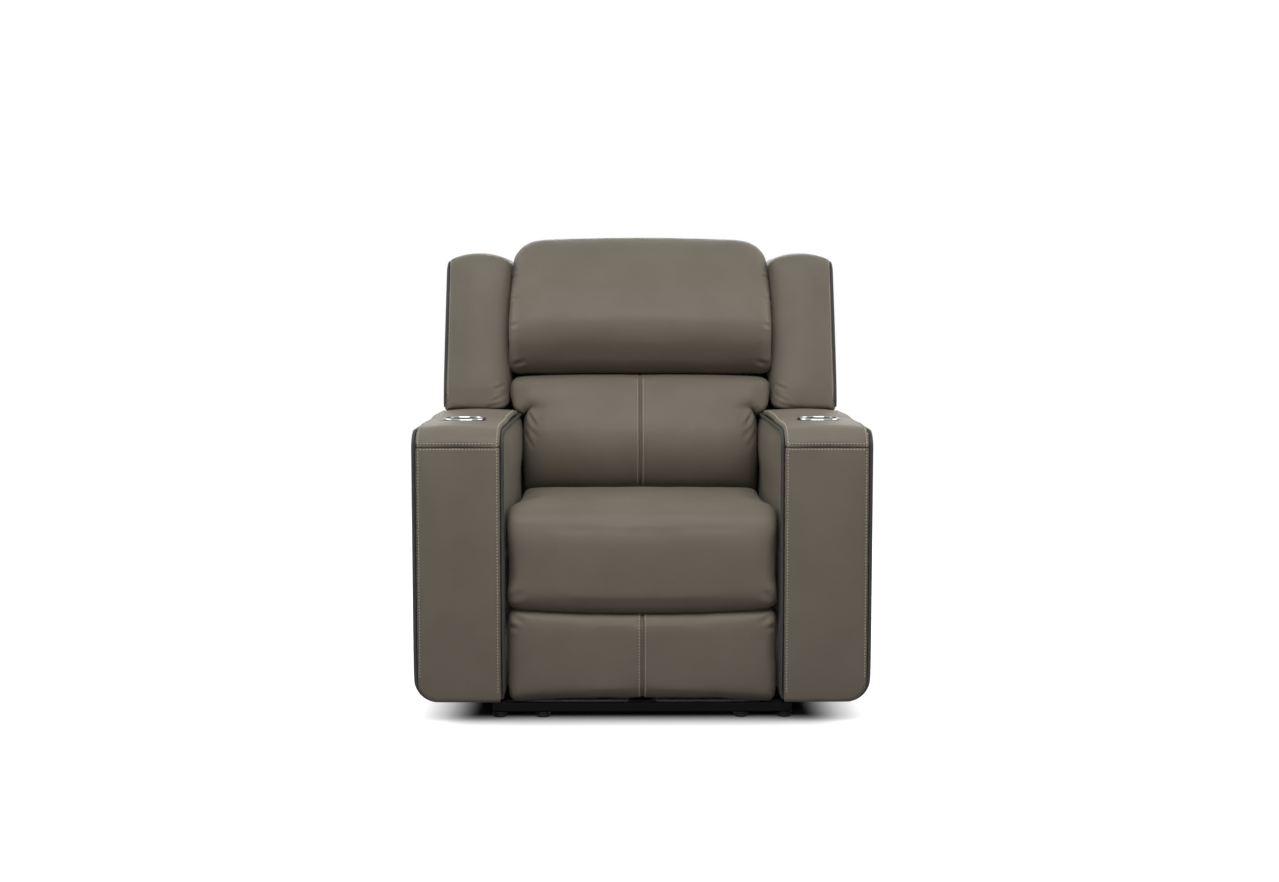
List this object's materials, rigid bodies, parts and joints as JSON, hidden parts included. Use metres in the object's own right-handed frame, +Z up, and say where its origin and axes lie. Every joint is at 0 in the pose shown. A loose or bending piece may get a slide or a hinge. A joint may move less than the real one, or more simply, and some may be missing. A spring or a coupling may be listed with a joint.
{
  "type": "cinema recliner seat",
  "caption": "Single cinema recliner in taupe leather with padded arms, cup holders, a reclining back and a linkage footrest.",
  "frame": {"origin": "floor level, under the centre of the seat's bounding box", "axes": "+X to the viewer's right when facing the seat, +Y to the rear, +Z up"},
  "size_m": [1, 0.9582, 1.0982],
  "materials": {
    "leather": "smooth",
    "leather_side": "smooth",
    "piping": "smooth",
    "black_steel": "powder coated",
    "zinc": "zinc plated",
    "plywood": "sawn",
    "chrome": "polished",
    "plastic": "moulded",
    "cloth": "woven"
  },
  "bodies": {
    "base": {"base_frame": "black_steel", "glide_feet": "plastic", "drive_bracket": "black_steel", "mech_plate_left": "black_steel", "mech_plate_right": "black_steel", "pivot_pins": "zinc", "arm_spacers": "zinc", "drive_cross_bar": "black_steel", "drive_track": "zinc", "drive_motor": "plastic", "recline_motor": "plastic", "seat_front_rail": "black_steel", "seat_rear_rail": "black_steel", "seat_front_board": "plywood", "seat_springs": "zinc", "seat_cushion": "leather", "arm_frame_left": "plywood", "arm_frame_right": "plywood", "arm_top_cover_left": "leather", "arm_top_cover_right": "leather", "arm_front_cover_left": "leather", "arm_front_cover_right": "leather", "arm_outer_cover_left": "leather", "arm_outer_cover_right": "leather", "arm_inner_cover_left": "leather_side", "arm_inner_cover_right": "leather_side", "arm_piping_left": "piping", "arm_piping_right": "piping", "cup_holder_left": "chrome", "cup_holder_right": "chrome", "switch_plate": "plastic"},
    "back": {"back_upright_left": "black_steel", "back_upright_right": "black_steel", "back_lower_rail": "black_steel", "back_mid_rail": "black_steel", "back_top_rail": "black_steel", "back_webbing": "cloth", "recline_lug": "black_steel", "lumbar_cushion": "leather", "head_cushion": "leather", "wing_cushion_left": "leather", "wing_cushion_right": "leather", "wing_piping": "piping", "back_side_cover_left": "leather_side", "back_side_cover_right": "leather_side", "back_rear_cover": "leather_side", "back_skirt": "cloth"},
    "drive_link": {"drive_links": "black_steel", "drive_tube": "black_steel"},
    "guide_link": {"guide_links": "black_steel"},
    "carrier_link": {"carrier_links": "black_steel"},
    "tie_link": {"tie_links": "black_steel"},
    "footrest": {"footrest_brackets": "black_steel", "footrest_board": "plywood", "footrest_cushion": "leather"},
    "drive_carriage": {"drive_carriage": "plastic"},
    "recline_rod": {"recline_rod": "zinc"},
    "button_open": {"button_open": "zinc"},
    "button_close": {"button_close": "zinc"}
  },
  "joints": [
    {"name": "recline", "type": "hinge", "parent": "base", "child": "back", "pos_m": [0, 0.165, 0.345], "axis": [-1, 0, 0], "range_deg": [0, 40]},
    {"name": "rod_slide", "type": "slide", "parent": "base", "child": "recline_rod", "axis": [0, -1, 0], "range_m": [0, 0.04105]},
    {"name": "footrest_drive", "type": "hinge", "parent": "base", "child": "drive_link", "pos_m": [0, -0.235, 0.302], "axis": [-1, 0, 0], "range_deg": [0, 90]},
    {"name": "guide_turn", "type": "hinge", "parent": "base", "child": "guide_link", "pos_m": [0, -0.18505, 0.29982], "axis": [-1, 0, 0], "range_deg": [0, 90]},
    {"name": "carrier_turn", "type": "hinge", "parent": "drive_link", "child": "carrier_link", "pos_m": [0, -0.0854, 0.18086], "axis": [-1, 0, 0], "range_deg": [-90, 0]},
    {"name": "tie_turn", "type": "hinge", "parent": "drive_link", "child": "tie_link", "pos_m": [0, -0.07367, 0.1338], "axis": [-1, 0, 0], "range_deg": [-90, 0]},
    {"name": "footrest_turn", "type": "hinge", "parent": "carrier_link", "child": "footrest", "pos_m": [0, -0.2664, 0.29036], "axis": [-1, 0, 0], "range_deg": [0, 90]},
    {"name": "carriage_slide", "type": "slide", "parent": "base", "child": "drive_carriage", "axis": [0, -1, 0], "range_m": [0, 0.05092]},
    {"name": "button_open_press", "type": "slide", "parent": "base", "child": "button_open", "axis": [1, 0, 0], "range_m": [0, 0.0025], "stiffness_N_per_m": 600, "springref_m": -0.0005},
    {"name": "button_close_press", "type": "slide", "parent": "base", "child": "button_close", "axis": [1, 0, 0], "range_m": [0, 0.0025], "stiffness_N_per_m": 600, "springref_m": -0.0005}
  ],
  "couplings": [
    {"joint": "rod_slide", "follows": "recline", "m_per_rad": 0.058789},
    {"joint": "guide_turn", "follows": "footrest_drive", "ratio": 1},
    {"joint": "carrier_turn", "follows": "footrest_drive", "ratio": -1},
    {"joint": "tie_turn", "follows": "footrest_drive", "ratio": -1},
    {"joint": "footrest_turn", "follows": "footrest_drive", "ratio": 1},
    {"joint": "carriage_slide", "follows": "footrest_drive", "m_per_rad": 0.032411}
  ]
}
